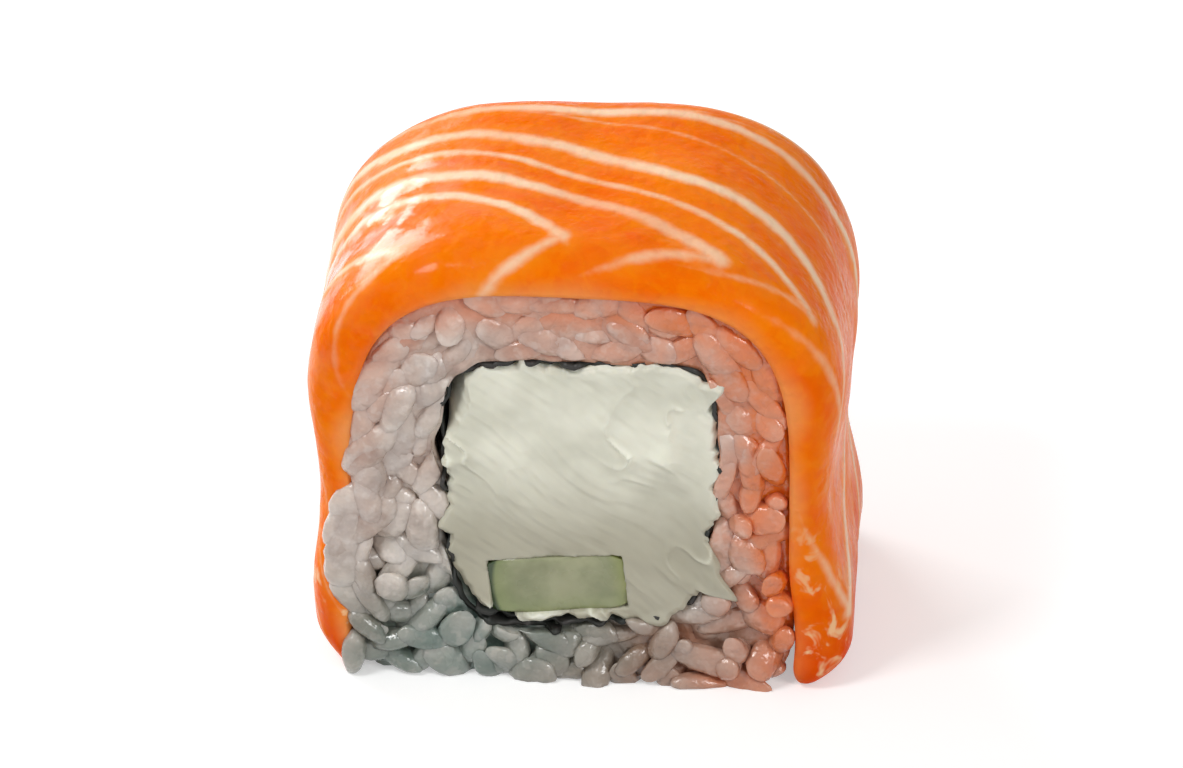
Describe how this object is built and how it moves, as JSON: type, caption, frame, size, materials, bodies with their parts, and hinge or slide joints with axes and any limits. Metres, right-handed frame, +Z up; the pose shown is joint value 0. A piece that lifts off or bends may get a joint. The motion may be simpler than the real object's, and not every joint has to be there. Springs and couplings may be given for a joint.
{
  "type": "maki sushi roll piece",
  "caption": "Piece of a square inside-out sushi roll: salmon slice draped over a ring of rice, with nori round cream cheese and a cucumber baton.",
  "frame": {"origin": "middle of the base that the piece stands on", "axes": "+X across the piece, +Y along the roll away from the front cut face, +Z up"},
  "size_m": [0.0396, 0.0259, 0.0357],
  "materials": {
    "salmon": "moist and glossy, orange flesh with pale fat lines",
    "rice": "moist cooked rice grains pressed together",
    "nori": "satin dark green seaweed sheet",
    "cream_cheese": "soft satin with knife smears",
    "cucumber": "moist pale green flesh with a dark green skin edge"
  },
  "bodies": {
    "root": {"salmon": "salmon", "rice": "rice", "nori": "nori", "cream_cheese": "cream_cheese", "cucumber": "cucumber"}
  },
  "joints": []
}
